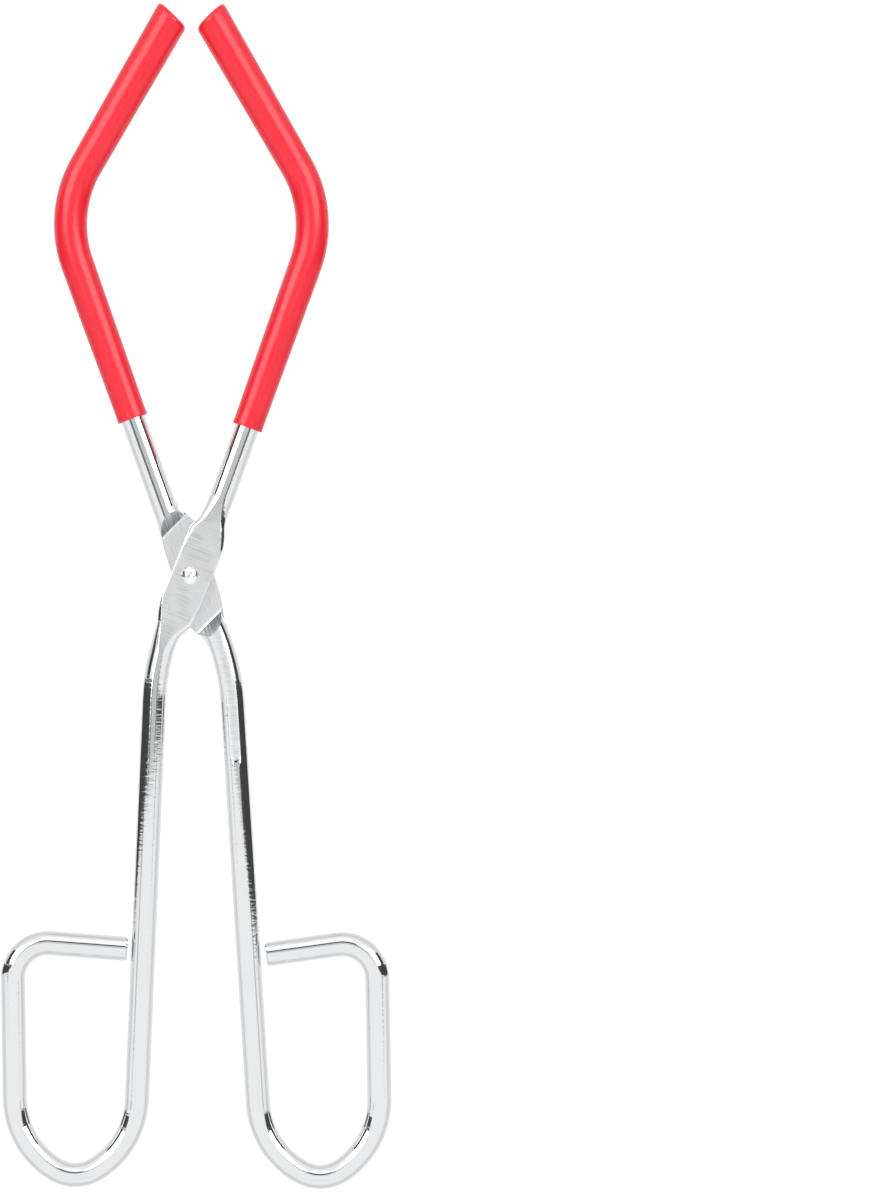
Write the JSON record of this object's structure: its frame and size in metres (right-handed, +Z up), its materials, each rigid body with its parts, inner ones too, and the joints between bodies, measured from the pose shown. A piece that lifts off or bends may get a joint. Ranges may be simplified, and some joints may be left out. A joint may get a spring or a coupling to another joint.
{
  "type": "beaker tongs",
  "caption": "Scissor tongs of bent round wire, crossed in a riveted half lap, with finger loops and closed red sleeves on two long bowed jaws.",
  "frame": {"origin": "on the bench that the tongs lie on, under the middle of their outline", "axes": "+Y from the finger loops to the jaws, +Z up along the rivet, +X to the right as seen from above"},
  "size_m": [0.0874, 0.2651, 0.0081],
  "materials": {
    "plated_wire": "polished",
    "rivet_steel": "satin",
    "sleeve_vinyl": "gloss"
  },
  "bodies": {
    "rear_half": {"rear_arm": "plated_wire", "left_jaw_sleeve": "sleeve_vinyl", "pivot_rivet": "rivet_steel"},
    "front_half": {"front_arm": "plated_wire", "right_jaw_sleeve": "sleeve_vinyl"}
  },
  "joints": [
    {"name": "jaw_opening", "type": "hinge", "parent": "rear_half", "child": "front_half", "pos_m": [-0.0013, 0.0047, 0.00405], "axis": [0, 0, -1], "range_deg": [-1.1, 90]}
  ]
}
